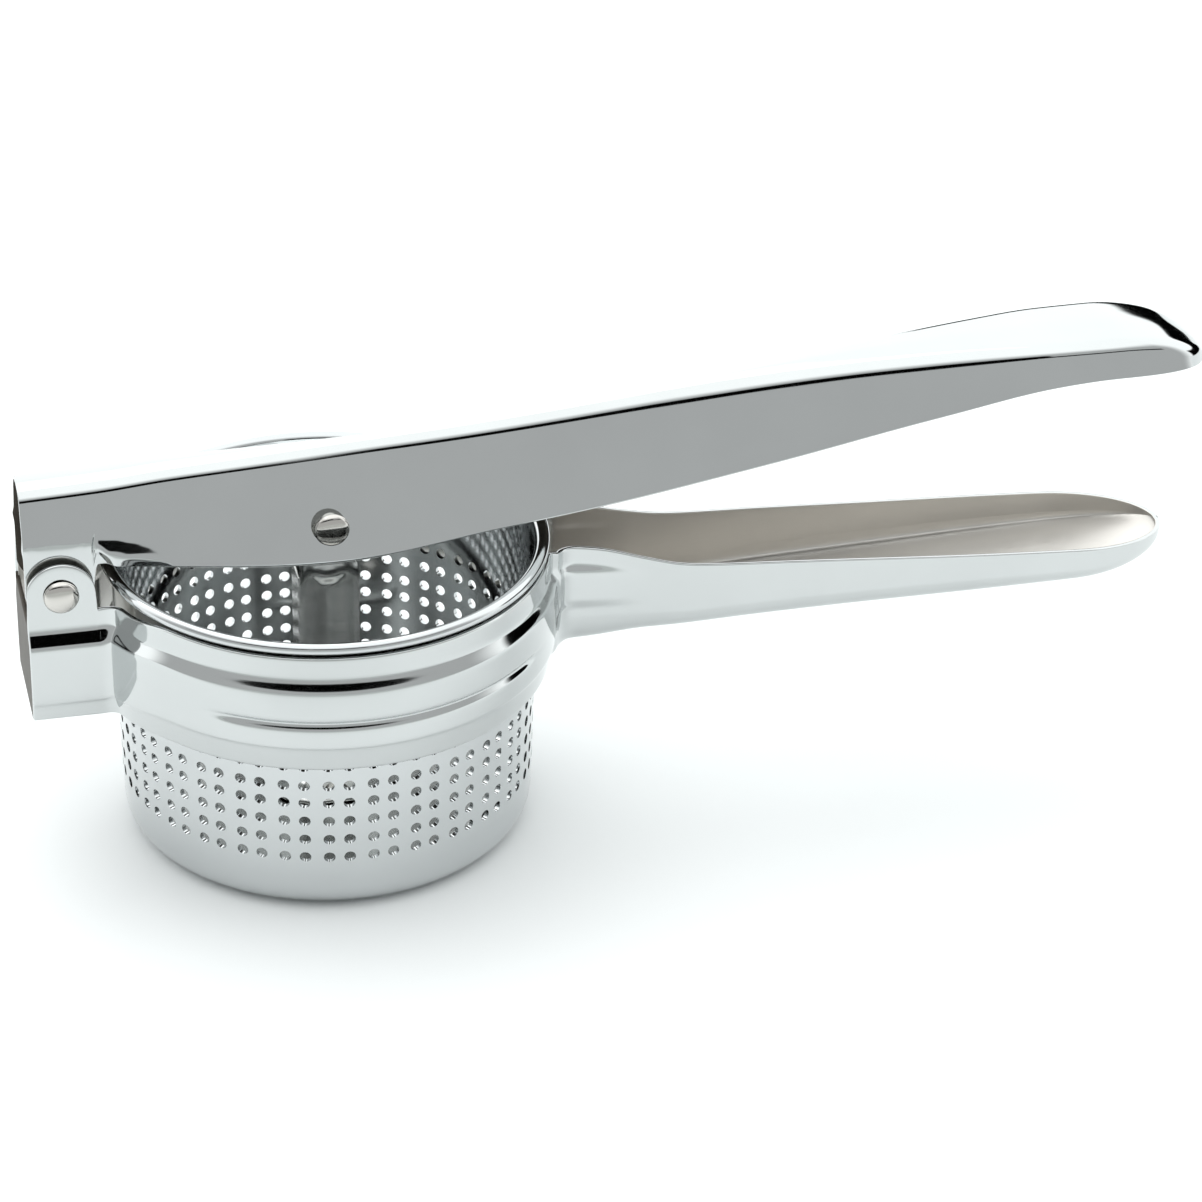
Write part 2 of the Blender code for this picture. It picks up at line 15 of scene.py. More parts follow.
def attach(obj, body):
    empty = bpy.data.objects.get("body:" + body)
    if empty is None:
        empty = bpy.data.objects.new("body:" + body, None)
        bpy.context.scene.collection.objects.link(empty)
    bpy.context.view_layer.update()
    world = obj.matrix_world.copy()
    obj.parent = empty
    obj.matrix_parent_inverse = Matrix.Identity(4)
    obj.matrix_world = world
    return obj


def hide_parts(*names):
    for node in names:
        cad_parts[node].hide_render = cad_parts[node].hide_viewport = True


MM = 0.001

# Camera: where it stands, its axes and its lens
CAMERA_PLACE = (-0.1222, -0.7266, 0.4766)
VIEW_DIRECTION = Vector((0.2092, 0.8391, -0.5021))
CAMERA_ROLL = math.radians(1.24)
CAMERA_LENS = 122.68

# Floor, in metres
FLOOR_HALF_SIZE = 4.0
FLOOR_GAP = 0.05 * MM

# Sheet metal
SHEET = 1.0 * MM
PIN_RADIUS = 2.4 * MM
PIN_HOLE_RADIUS = 2.8 * MM
RUNNING_GAP = 0.3 * MM
EDGE_EASE = 0.2 * MM

# Basket
BASKET_RADIUS = 44.0 * MM
BASKET_TAPER = 1.0 * MM
BASKET_CORNER = 6.2 * MM
RIM_HEIGHT = 64.0 * MM
BEAD_CENTER = 45.4 * MM
BEAD_RADIUS = 1.15 * MM
PLAIN_WALL_HEIGHTS = [z * MM for z in (46, 50, 54, 58, 61)]
RIM_CURVE = [(r * MM, z * MM) for r, z in ((43.05, 62.4), (43.25, 63.4), (43.65, 64.2), (44.3, 64.8))]
HOLE_BAND_MARGIN = 2.3 * MM
HOLE_RADIUS = 1.17 * MM
HOLE_PAIRS = 30
PAIR_SPREAD = math.radians(5.5)
HOLE_ROWS = [z * MM for z in (13.7, 18.0, 22.4, 26.8, 30.9, 35.5, 39.9)]
HOLE_PHASE = math.radians(-96.8)
FLOOR_HOLE_RADIUS = 1.17 * MM
FLOOR_HOLE_PITCH = 5.2 * MM
FLOOR_HOLE_MARGIN = 3 * MM

# Collar and bracket of the frame
BULGE_RADIUS = 48.1 * MM
NECK_RING_INSET = 1.5 * MM
SKIRT_INSET = 1.4 * MM
RIB_DEPTH = 0.9 * MM
RIB_START_ANGLE = math.radians(-128)
RIB_END_ANGLE = math.radians(-34)
RIB_ONSET = math.radians(5)
RIB_FADE = math.radians(8)
COLLAR_RISE = math.radians(22)
COLLAR_START_SHARE = 0.3
UPPER_EDGE_LAND = 0.45 * MM
CREASE_LIP = (0.3 * MM, 0.4 * MM)
COLLAR_LEVELS = [z * MM for z in (62.4, 57.5, 55.0, 48.9, 48.0, 46.6, 42.6, 36.6)]
BRACKET_LEVELS = [z * MM for z in (58.6, 54.6, 51.4, 46.0, 45.1, 43.4, 38.6, 34.6)]
END_X = -62.6 * MM
BRACKET_HALF_WIDTH = 13.0 * MM
BRACKET_SKIRT_INSET = 0.6 * MM
EAR_INSET = 2.0 * MM
EAR_RADIUS = 7.1 * MM
WEB_TOP = 55.8 * MM
BRACKET_FILLET = 2.5 * MM

# Lower handle: (x, height or half-width) stations in millimetres
NECK_HALF_WIDTH = 9.4 * MM
NECK_FILLET = 5.0 * MM
PANEL_HEIGHT = 0.7 * MM
PANEL_START = 50.0 * MM
PANEL_END = 66.0 * MM
FADE_START = 56.0 * MM
FADE_END = 150.0 * MM
SHOULDER_SHARE = 0.30
SHOULDER_RISE = 0.15
TROUGH_SQUARENESS = 3.2
HANDLE_TOP = [(47, 61.4), (56, 60.3), (66, 57.5), (75, 55.4), (97, 54.0), (131, 51.8), (160, 50.1), (183, 48.6)]
HANDLE_BOTTOM = [(45, 36.6), (66, 38.4), (93, 39.8), (133, 40.6), (160, 41.2), (183, 41.6)]
HANDLE_HALF_WIDTH = [(51, 9.4), (56, 9.9), (66, 10.9), (75, 11.8), (112, 12.8), (150, 13.6), (183, 13.6)]
HANDLE_TIP_START = 160.0 * MM
HANDLE_TIP = 183.0 * MM

# Joints
HINGE_X = -55.5 * MM
HINGE_Z = 62.4 * MM
PLUNGER_Z = 71.0 * MM
RIVET_HEAD_RADIUS = 3.6 * MM
RIVET_HEAD_HEIGHT = 1.6 * MM
LEVER_RIVET_FACE = 9.9 * MM
SLEEVE_RADIUS = 3.7 * MM

# Lever: (x, height, half-width or share) stations in millimetres
LEVER_CREST = [(-63, 83.7), (-46, 84.3), (-33, 85.1), (-15, 85.7), (16, 86.9), (41, 88.6), (66, 90.9), (91, 93.7),
               (116, 96.1), (141, 97.6), (153, 97.9), (166, 97.9), (178, 97.0), (188, 94.0)]
LEVER_EDGE = [(-46, 67.6), (0, 63.2), (2, 63.2), (35, 67.4), (56, 70.3), (90, 76.6), (128, 84.9), (153, 89.4),
              (166, 90.2), (188, 89.4)]
LEVER_HALF_WIDTH = [(-63, 10.3), (-46, 10.2), (-33, 10.2), (40, 10.2), (80, 10.8), (110, 11.9), (140, 12.9),
                    (166, 13.0)]
LEVER_TOP_HALF_WIDTH = [(-63, 5.0), (-46, 4.7), (-33, 4.3), (-15, 3.7), (16, 2.7), (41, 2.6), (66, 2.5), (91, 3.7),
                        (116, 6.1), (141, 8.9), (153, 10.4), (166, 10.8)]
LEVER_ARM_SPAN = (-48.0, -28.0, 164.0)
LEVER_NOSE_START = 166.0 * MM
LEVER_NOSE_POWER = 0.6
LEVER_TIP = 188.0 * MM
LEVER_TOP_DROP = 0.5 * MM
LEVER_CORNER_REACH = 2.6 * MM
LEVER_LOBE_RADIUS = 7.0 * MM
LEVER_LUG_RADIUS = 11.3 * MM
LEVER_LUG_HALF_WIDTH = 8.7 * MM
LEVER_LUG_RAMP = 1.0 * MM
LEVER_FLARE_CENTER = -52.0 * MM
LEVER_FLARE_REACH = 19.0 * MM
LEVER_FLARE_LEVELS = (67.2 * MM, 6.5 * MM)
LEVER_FLARE_SLOPE = 0.21
LEVER_FLARE_LIMIT = [(-63, 9.3), (-52, 9.5), (-42, 10.2)]

# Plunger
STEM_HALF_WIDTH = 6.3 * MM
STEM_HALF_DEPTH = 5.4 * MM
STEM_EAR_HALF_DEPTH = 4.4 * MM
STEM_WEB_TOP = 57.0 * MM
STEM_RIB_DEPTH = 1.6 * MM
STEM_RIB_CREST = 57.0 * MM
STEM_RIB_SPREAD = 4.6 * MM
STEM_BEND = (58 * MM, 61 * MM)
DISC_RADIUS = 39.6 * MM
DISC_CENTER_X = -0.8 * MM
DISC_BOTTOM = 6.0 * MM
DISC_LIP_HEIGHT = 4.0 * MM
DISC_CORNER = 3.0 * MM
FOOT_LENGTH = 8.0 * MM
FOOT_RIVET_DISTANCE = 10.2 * MM
FOOT_RIVET_RADIUS = 1.5 * MM
FOOT_HEAD_RADIUS = 2.6 * MM
FOOT_HEAD_HEIGHT = 1.0 * MM

# How finely the sheets are divided
COLLAR_STEPS = 36
FLOOR_ROWS = 6
CELL_SIDE_STEPS = 4
LEVER_CROWN_ROWS = 8
LEVER_WALL_ROWS = 20
LEVER_EDGE_LAND = 0.35
CREASE = 0.28 * MM
MERGE_DISTANCE = 0.02 * MM
FINE_MERGE_DISTANCE = 0.01 * MM
SHEET_SHARP_ANGLE = math.radians(40)
TURNED_SHARP_ANGLE = math.radians(35)


# ---------------------------------------------------------------- curves and profiles

def smooth(value, start, end):
    """0 before start, 1 after end, with a smooth rise between."""
    share = min(max((value - start) / (end - start), 0.0), 1.0)
    return share * share * (3 - 2 * share)


def share_along(x, stations):
    """The plain value at x, on a smooth curve through (millimetres, value) stations."""
    return curve_through(x, [s[0] * MM for s in stations], [s[1] for s in stations])


def along(x, stations):
    """The height or width at x, on a smooth curve through stations given in millimetres."""
    return share_along(x, stations) * MM


def curve_through(x, xs, ys):
    """A smooth curve through the points (xs, ys) that never overshoots them, level beyond both ends."""
    if x <= xs[0]:
        return ys[0]
    if x >= xs[-1]:
        return ys[-1]
    slopes = [(ys[i + 1] - ys[i]) / (xs[i + 1] - xs[i]) for i in range(len(xs) - 1)]
    tangents = [slopes[0]]
    for before, after in zip(slopes, slopes[1:]):
        tangents.append(0.0 if before * after <= 0 else 2 * before * after / (before + after))
    tangents.append(slopes[-1])
    i = max(k for k in range(len(xs) - 1) if xs[k] <= x)
    step = xs[i + 1] - xs[i]
    t = (x - xs[i]) / step
    rise = (2 * t**3 - 3 * t**2 + 1) * ys[i] + (3 * t**2 - 2 * t**3) * ys[i + 1]
    lean = (t**3 - 2 * t**2 + t) * tangents[i] + (t**3 - t**2) * tangents[i + 1]
    return rise + step * lean


def rounded(share, squareness):
    """(across, down) from 0 to 1 along a rounded quarter outline, first down its wall and then across its floor."""
    angle = share * math.pi / 2
    power = 2 / squareness
    return 1 - math.cos(angle) ** power if share < 1 else 1.0, math.sin(angle) ** power


def eased_corners(points, reach):
    """A polyline with each inner corner cut by two points at most reach from it."""
    eased = [points[0]]
    for before, corner, after in zip(points, points[1:], points[2:]):
        for other in (before, after):
            span = math.dist(corner, other)
            share = min(reach / span, 0.4) if span > 0 else 0.0
            eased.append(tuple(c + (o - c) * share for c, o in zip(corner, other)))
    return eased + [points[-1]]


# ---------------------------------------------------------------- meshes

def add_object(name, mesh, material):
    item = bpy.data.objects.new(name, mesh)
    bpy.context.scene.collection.objects.link(item)
    mesh.materials.append(material)
    return item


def mesh_from_grid(name, columns):
    """A surface through a grid of points; points that coincide become one."""
    mesh = bpy.data.meshes.new(name)
    bm = bmesh.new()
    grid = [[bm.verts.new(point) for point in column] for column in columns]
    for left, right in zip(grid, grid[1:]):
        for i in range(len(left) - 1):
            bm.faces.new((left[i], left[i + 1], right[i + 1], right[i]))
    bmesh.ops.remove_doubles(bm, verts=bm.verts, dist=MERGE_DISTANCE)
    bm.to_mesh(mesh)
    bm.free()
    return mesh


def thicken(item):
    """Give a drawn skin the thickness of the sheet, behind its normals."""
    thickness = item.modifiers.new("sheet", "SOLIDIFY")
    thickness.thickness = SHEET
    thickness.offset = -1
    thickness.use_quality_normals = True


def pressed_sheet(name, columns, material, levels):
    """One pressed sheet: the surface for y <= 0, mirrored, thickened inwards and subdivided."""
    item = add_object(name, mesh_from_grid(name, columns), material)
    mirror = item.modifiers.new("other_half", "MIRROR")
    mirror.use_axis = (False, True, False)
    mirror.merge_threshold = FINE_MERGE_DISTANCE
    thicken(item)
    rounding = item.modifiers.new("rounding", "SUBSURF")
    rounding.levels = levels
    rounding.render_levels = levels
    item.data.shade_smooth()
    return item


def turned(name, profile, center, axis, material, steps):
    """A profile of (radius, height) points, closed or ending on its axis, turned about an axis through center."""
    mesh = bpy.data.meshes.new(name)
    bm = bmesh.new()
    ring = [bm.verts.new((radius, 0, height)) for radius, height in profile]
    ends = ring[1:] if profile[0][0] == 0 else ring[1:] + ring[:1]
    edges = [bm.edges.new(pair) for pair in zip(ring, ends)]
    bmesh.ops.spin(bm, geom=ring + edges, cent=(0, 0, 0), axis=(0, 0, 1), angle=math.tau, steps=steps,
                   use_merge=True)
    bmesh.ops.remove_doubles(bm, verts=bm.verts, dist=FINE_MERGE_DISTANCE)
    bmesh.ops.recalc_face_normals(bm, faces=bm.faces)
    turn = Vector(axis).to_track_quat("Z", "Y").to_matrix().to_4x4()
    bmesh.ops.transform(bm, matrix=Matrix.Translation(center) @ turn, verts=bm.verts)
    bm.to_mesh(mesh)
    bm.free()
    item = add_object(name, mesh, material)
    mesh.shade_smooth()
    mesh.set_sharp_from_angle(angle=TURNED_SHARP_ANGLE)
    return item


# ---------------------------------------------------------------- frame

def wall_rows(top, collar_share, rib_share):
    """(inset, height) rows of an upright strip: neck ring, step, bulge, rib, crease and skirt."""
    levels = [b + (c - b) * collar_share for b, c in zip(BRACKET_LEVELS, COLLAR_LEVELS)]
    ring = EAR_INSET + (NECK_RING_INSET - EAR_INSET) * collar_share
    skirt = BRACKET_SKIRT_INSET + (SKIRT_INSET - BRACKET_SKIRT_INSET) * collar_share
    depth = RIB_DEPTH * rib_share
    keys = [(ring, top), (ring, levels[1]), (0.0, levels[2]), (0.0, levels[3]), (depth, levels[4]),
            (0.0, levels[5]), (0.0, levels[6]), (CREASE_LIP[0], levels[6] - CREASE_LIP[1]), (skirt, levels[7])]
    rows = eased_corners(keys, CREASE)
    rows.insert(1, (ring, top - UPPER_EDGE_LAND))
    last = rows.pop()
    before = rows[-1]
    for i in range(1, FLOOR_ROWS + 1):
        share = i / FLOOR_ROWS
        rows.append(tuple(b + (e - b) * share for b, e in zip(before, last)))
    return rows


def wall_column(point, out, top, collar_share, rib_share):
    """One upright strip of the frame at a point of its outline, whose outward direction is out."""
    return [(point[0] - out[0] * inset, point[1] - out[1] * inset, height)
            for inset, height in wall_rows(top, collar_share, rib_share)]


def ear_top(x):
    """Upper edge of the bracket: a round ear about the hinge, then a low edge up to the collar."""
    if x > HINGE_X + 0.995 * EAR_RADIUS:
        return BRACKET_LEVELS[0]
    return HINGE_Z + math.sqrt(max(EAR_RADIUS**2 - (x - HINGE_X) ** 2, 0.0))


def fillet_center(half_width, fillet, side):
    """Centre of the hollow fillet between the collar and a straight wall at y = -half_width."""
    y = -(half_width + fillet)
    return Vector((side * math.sqrt((BULGE_RADIUS + fillet) ** 2 - y**2), y))


def bracket_columns():
    """Flat end web, then the ear and the straight wall, up to the collar's fillet."""
    columns = []
    for share in (0.0, 0.35, 0.7, 0.88, 0.95):
        rows = wall_rows(WEB_TOP, 0, 0)
        columns.append([(END_X, -share * (BRACKET_HALF_WIDTH - inset), height) for inset, height in rows])
    steps = 18
    for i in range(steps + 1):
        x = HINGE_X - EAR_RADIUS * math.cos(math.pi * i / steps)
        x = max(x, END_X + CREASE)
        if i == 1:
            continue
        columns.append(wall_column((x, -BRACKET_HALF_WIDTH), (0, -1), ear_top(x), 0, 0))
    return columns


def collar_columns():
    """Hollow fillet from the bracket, round the front of the collar, and up to the hollow fillet at the neck."""
    columns = []
    left = fillet_center(BRACKET_HALF_WIDTH, BRACKET_FILLET, -1)
    right = fillet_center(NECK_HALF_WIDTH, NECK_FILLET, 1)
    left_angle = math.atan2(left.y, left.x)
    right_angle = math.atan2(right.y, right.x)
    steps = 5
    for i in range(steps):
        turn = math.pi / 2 + (left_angle + math.pi / 2) * i / steps
        out = -Vector((math.cos(turn), math.sin(turn)))
        share = COLLAR_START_SHARE * i / steps
        top = BRACKET_LEVELS[0] + (COLLAR_LEVELS[0] - BRACKET_LEVELS[0]) * share
        columns.append(wall_column(left - out * BRACKET_FILLET, out, top, share, 0))
    for i in range(COLLAR_STEPS + 1):
        angle = left_angle + (right_angle - left_angle) * i / COLLAR_STEPS
        out = Vector((math.cos(angle), math.sin(angle)))
        rise = smooth(angle, left_angle, left_angle + COLLAR_RISE)
        share = COLLAR_START_SHARE + (1 - COLLAR_START_SHARE) * rise
        top = BRACKET_LEVELS[0] + (COLLAR_LEVELS[0] - BRACKET_LEVELS[0]) * share
        rib = smooth(angle, RIB_START_ANGLE, RIB_START_ANGLE + RIB_ONSET)
        rib *= 1 - smooth(angle, RIB_END_ANGLE - RIB_FADE, RIB_END_ANGLE)
        columns.append(wall_column(out * BULGE_RADIUS, out, top, share, rib))
    return columns


# How far down a trough's straight wall each of its rows lies
WALL_SHARES = (0, 0.04, 0.12, 0.18, 0.25, 0.32, 0.42, 0.5, 0.6, 0.68, 0.76, 0.83, 0.89, 0.93, 0.97, 1.0)


def trough_column(wall, out, floor_end, fade):
    """One cross-section of the neck or grip: straight wall rows, then a rounded corner down to floor_end."""
    top = along(wall[0], HANDLE_TOP)
    shoulder = floor_end[2] + (top - floor_end[2]) * (SHOULDER_SHARE + SHOULDER_RISE * fade)
    panel = PANEL_HEIGHT * (1 - smooth(wall[0], PANEL_START, PANEL_END))
    rows = []
    for share in WALL_SHARES:
        bulge = panel if 0.3 < share < 0.8 else 0.0
        rows.append((wall[0] + out[0] * bulge, wall[1] + out[1] * bulge, top + (shoulder - top) * share))
    for i in range(1, FLOOR_ROWS + 1):
        across, down = rounded(i / FLOOR_ROWS, TROUGH_SQUARENESS)
        rows.append((wall[0] + (floor_end[0] - wall[0]) * across, wall[1] + (floor_end[1] - wall[1]) * across,
                     shoulder + (floor_end[2] - shoulder) * down))
    return rows


def neck_columns():
    """The neck's walls with the floor's front edge, which follows the basket's opening."""
    columns = []
    right = fillet_center(NECK_HALF_WIDTH, NECK_FILLET, 1)
    start = math.atan2(right.y, right.x)
    steps = 6
    edge_radius = BULGE_RADIUS - SKIRT_INSET
    for i in range(1, steps + 1):
        turn = start + math.pi - (start + math.pi / 2) * i / steps
        out = -Vector((math.cos(turn), math.sin(turn)))
        wall = right - out * NECK_FILLET
        angle = start * (1 - i / steps)
        end = (edge_radius * math.cos(angle), edge_radius * math.sin(angle), COLLAR_LEVELS[7])
        columns.append(trough_column(wall, out, end, 0))
    return columns


def handle_columns():
    """The trough of the lower handle, with a rounded spoon-like tip."""
    columns = []
    first = fillet_center(NECK_HALF_WIDTH, NECK_FILLET, 1).x
    edge_radius = BULGE_RADIUS - SKIRT_INSET
    for x in (54, 56, 58, 60, 62, 64, 66, 69, 72, 76, 81, 87, 94, 102, 110, 118, 126, 134, 142, 150, 156):
        x *= MM
        catch_up = smooth(x, first, PANEL_END)
        end_x = edge_radius + (x - edge_radius) * catch_up
        end = (end_x, 0.0, along(end_x, HANDLE_BOTTOM))
        wall = (x, -along(x, HANDLE_HALF_WIDTH))
        columns.append(trough_column(wall, (0, -1), end, smooth(x, FADE_START, FADE_END)))
    steps = 12
    for i in range(steps + 1):
        angle = math.pi / 2 * i / steps
        x = HANDLE_TIP_START + (HANDLE_TIP - HANDLE_TIP_START) * math.sin(angle)
        top = along(x, HANDLE_TOP)
        share = math.cos(angle) if i < steps else 0.0
        end = (x, 0.0, top - (top - along(x, HANDLE_BOTTOM)) * share)
        columns.append(trough_column((x, -along(x, HANDLE_HALF_WIDTH) * share), (0, -1), end, 1))
    return columns


def make_frame(material, painted_reflection_material, inner_material):
    """The whole frame as one sheet, with a painted dark reflection on the end web and its own finish on the inner
    skin.
    """
    columns = bracket_columns() + collar_columns() + neck_columns() + handle_columns()
    item = pressed_sheet("ricer_frame", columns, material, 2)
    item.data.materials.append(painted_reflection_material)
    item.data.materials.append(inner_material)
    item.modifiers["sheet"].material_offset = 2
    # faces of the end web get the dark colour of the painted reflection
    for face in item.data.polygons:
        if face.center.x < END_X + 0.1 * MM:
            face.material_index = 1
    return item


# ---------------------------------------------------------------- lever

def lever_low_edge(x):
    """Lower edge of the lever: a round lobe about the hinge, then the long tapering edge."""
    reach = LEVER_LOBE_RADIUS**2 - (x - HINGE_X) ** 2
    if x < HINGE_X + LEVER_LOBE_RADIUS - 0.05 * MM:
        return HINGE_Z - math.sqrt(max(reach, 0.0))
    return along(x, LEVER_EDGE)


def lever_wall(x, z, plane):
    """Half-width of the leaning wall, with the flare beside the hinge and the upright lug around it."""
    if x > LEVER_FLARE_CENTER + LEVER_FLARE_REACH:
        return plane
    offset = max(x - LEVER_FLARE_CENTER, 0.0) / LEVER_FLARE_REACH
    flare_top = LEVER_FLARE_LEVELS[0] + LEVER_FLARE_LEVELS[1] * math.sqrt(max(1 - offset**2, 0.0))
    flared = plane + LEVER_FLARE_SLOPE * max(flare_top - z, 0.0)
    distance = math.hypot(x - HINGE_X, z - HINGE_Z)
    share = smooth(distance, LEVER_LUG_RADIUS, LEVER_LUG_RADIUS + LEVER_LUG_RAMP)
    flared = max(plane, min(flared, along(x, LEVER_FLARE_LIMIT)))
    return flared - max(flared - LEVER_LUG_HALF_WIDTH, 0.0) * (1.0 - share)


def rounded_corner(start, corner, end, reach, steps):
    """Points of a smooth bend from start to end round a corner."""
    first = corner + (start - corner) * min(reach / (start - corner).length, 0.8)
    last = corner + (end - corner) * min(reach / (end - corner).length, 0.45)
    shares = [i / steps for i in range(steps + 1)]
    return [first * (1 - t) ** 2 + corner * (2 * t * (1 - t)) + last * t**2 for t in shares]


def lever_column(x, share):
    """Half a cross-section of the lever at x, from crest to lower edge; share shrinks it towards the nose's tip."""
    low = lever_low_edge(x)
    edge = max(low, along(x, LEVER_EDGE))
    crest = edge + (along(x, LEVER_CREST) - edge) * share
    half = along(x, LEVER_HALF_WIDTH) * share
    top_half = along(x, LEVER_TOP_HALF_WIDTH) * share
    if share == 0.0:
        return [(x, 0.0, low)] * (LEVER_CROWN_ROWS + LEVER_WALL_ROWS + 4)
    top = Vector((0.0, crest))
    corner = Vector((top_half, crest - LEVER_TOP_DROP * share))
    foot = Vector((half, edge))
    bend = rounded_corner(top, corner, foot, LEVER_CORNER_REACH * (0.3 + 0.7 * share), LEVER_CROWN_ROWS)
    rows = [(x, 0.0, crest), (x, -0.5 * bend[0].x, 0.5 * (crest + bend[0].y))]
    rows += [(x, -point.x, point.y) for point in bend]
    start = bend[-1]
    parts = [i / LEVER_WALL_ROWS for i in range(1, LEVER_WALL_ROWS)]
    for part in parts + [1 - LEVER_EDGE_LAND / LEVER_WALL_ROWS, 1.0]:
        z = start.y + (low - start.y) * part
        plane = start.x + (foot.x - start.x) * (start.y - z) / (start.y - foot.y)
        rows.append((x, -lever_wall(x, z, plane), z))
    return rows


def make_lever(material, inner_material):
    """The lever as one sheet: close columns at the hinge, wider ones along the arm, and the rounded nose."""
    columns = []
    reach = LEVER_LOBE_RADIUS - 0.1 * MM
    steps = 18
    for i in range(steps + 1):
        columns.append(lever_column(HINGE_X - reach * math.cos(math.pi * i / steps), 1))
    x, fine_end, end = LEVER_ARM_SPAN
    while x < end:
        columns.append(lever_column(x * MM, 1))
        x += 0.8 if x < fine_end else 4.5
    steps = 16
    for i in range(steps + 1):
        angle = math.pi / 2 * i / steps
        x = LEVER_NOSE_START + (LEVER_TIP - LEVER_NOSE_START) * math.sin(angle)
        columns.append(lever_column(x, math.cos(angle) ** LEVER_NOSE_POWER if i < steps else 0.0))
    item = pressed_sheet("ricer_lever", columns, material, 1)
    # the lever's inner skin is painted dark, as painted shade
    item.data.materials.append(inner_material)
    item.modifiers["sheet"].material_offset = 1
    return item


# ---------------------------------------------------------------- basket

def wall_radius(height):
    """Inner radius of the basket's wall."""
    return BASKET_RADIUS - SHEET - BASKET_TAPER * (1 - height / RIM_HEIGHT)


def cylinder_point(angle, height):
    """A point of the inner wall."""
    radius = wall_radius(height)
    return (radius * math.cos(angle), radius * math.sin(angle), height)


def cell_edges():
    """Angles between neighbouring holes, and the angle of each hole, once round the basket."""
    pitch = math.tau / HOLE_PAIRS
    edges, centers = [], []
    for i in range(HOLE_PAIRS):
        middle = HOLE_PHASE + i * pitch
        centers += [middle - PAIR_SPREAD / 2, middle + PAIR_SPREAD / 2]
        edges += [middle - pitch / 2, middle]
    return edges + [edges[0] + math.tau], centers


def row_edges():
    """Heights between neighbouring rows of holes."""
    middles = [(a + b) / 2 for a, b in zip(HOLE_ROWS, HOLE_ROWS[1:])]
    return [HOLE_ROWS[0] - HOLE_BAND_MARGIN] + middles + [HOLE_ROWS[-1] + HOLE_BAND_MARGIN]


def ring_faces(bm, outer, inner):
    """Faces between two closed loops of as many points."""
    for i in range(len(outer)):
        j = (i + 1) % len(outer)
        bm.faces.new((outer[i], outer[j], inner[j], inner[i]))


def cell_outline(left, right, low, high, sides):
    """(angle, height) points once round a four-sided cell, from its lower left corner."""
    corners = [(left, low), (right, low), (right, high), (left, high)]
    points = []
    for start, end in zip(corners, corners[1:] + corners[:1]):
        points += [tuple(a + (b - a) * i / sides for a, b in zip(start, end)) for i in range(sides)]
    return points


def hole_outline(angle, height, count):
    """(angle, height) points once round a hole, each facing the same point of its cell's outline."""
    points = []
    for i in range(count):
        turn = math.radians(225) + math.tau * i / count
        across = HOLE_RADIUS * math.cos(turn) / wall_radius(height)
        points.append((angle + across, height + HOLE_RADIUS * math.sin(turn)))
    return points


def perforated_wall(bm):
    """The inner skin of the wall, one four-sided cell round each hole."""
    edges, centers = cell_edges()
    rows = row_edges()
    for k, angle in enumerate(centers):
        for row, height in enumerate(HOLE_ROWS):
            outline = cell_outline(edges[k], edges[k + 1], rows[row], rows[row + 1], CELL_SIDE_STEPS)
            circle = hole_outline(angle, height, len(outline))
            middle = [((a[0] + b[0]) / 2, (a[1] + b[1]) / 2) for a, b in zip(outline, circle)]
            loops = [[bm.verts.new(cylinder_point(*p)) for p in loop] for loop in (outline, middle, circle)]
            ring_faces(bm, loops[0], loops[1])
            ring_faces(bm, loops[1], loops[2])


def around(sides):
    """The angles of the wall's columns, which match the cells of the perforated band."""
    edges, _ = cell_edges()
    angles = []
    for left, right in zip(edges, edges[1:]):
        angles += [left + (right - left) * i / sides for i in range(sides)]
    return angles


def plain_rings(bm, profile, angles):
    """Plain rings through a profile of (radius, height) points."""
    rings = []
    for radius, height in profile:
        rings.append([bm.verts.new((radius * math.cos(a), radius * math.sin(a), height)) for a in angles])
    for low, high in zip(rings, rings[1:]):
        for i in range(len(angles)):
            j = (i + 1) % len(angles)
            bm.faces.new((low[i], low[j], high[j], high[i]))


def floor_hole_centers(limit):
    """Centres of the floor's holes, on a triangular grid."""
    centers = []
    rows = int(limit / FLOOR_HOLE_PITCH) + 2
    for row in range(-rows, rows + 1):
        y = row * FLOOR_HOLE_PITCH * math.sqrt(3) / 2
        for column in range(-rows, rows + 1):
            x = (column + 0.5 * (row % 2)) * FLOOR_HOLE_PITCH
            if math.hypot(x, y) < limit:
                centers.append((x, y))
    return centers


def perforated_floor(bm, radius, angles):
    """The flat floor's upper skin, with round holes."""
    points = [Vector((radius * math.cos(a), radius * math.sin(a))) for a in angles]
    loops = [list(range(len(angles)))]
    sides = 14
    centers = floor_hole_centers(radius - FLOOR_HOLE_MARGIN)
    for x, y in centers:
        start = len(points)
        for i in range(sides):
            turn = -math.tau * i / sides
            points.append(Vector((x + FLOOR_HOLE_RADIUS * math.cos(turn), y + FLOOR_HOLE_RADIUS * math.sin(turn))))
        loops.append(list(range(start, start + sides)))
    places, _, triangles = delaunay_2d_cdt([p / MM for p in points], [], loops, 0, 1e-4)[:3]
    verts = [bm.verts.new((p.x * MM, p.y * MM, SHEET)) for p in places]
    for face in triangles:
        middle = sum((places[i] for i in face), Vector((0, 0))) / len(face) * MM
        if any(math.hypot(middle.x - x, middle.y - y) < 0.95 * FLOOR_HOLE_RADIUS for x, y in centers):
            continue
        bm.faces.new([verts[i] for i in face])


def bottom_profile(floor_radius, first_row):
    """(radius, height) points of the inner skin, from the flat floor round the corner to the first holes."""
    corner = BASKET_CORNER - SHEET
    turns = [math.pi / 2 * i / 8 for i in range(9)]
    points = [(floor_radius + corner * math.sin(t), SHEET + corner * (1 - math.cos(t))) for t in turns]
    return points + [(wall_radius(first_row), first_row)]


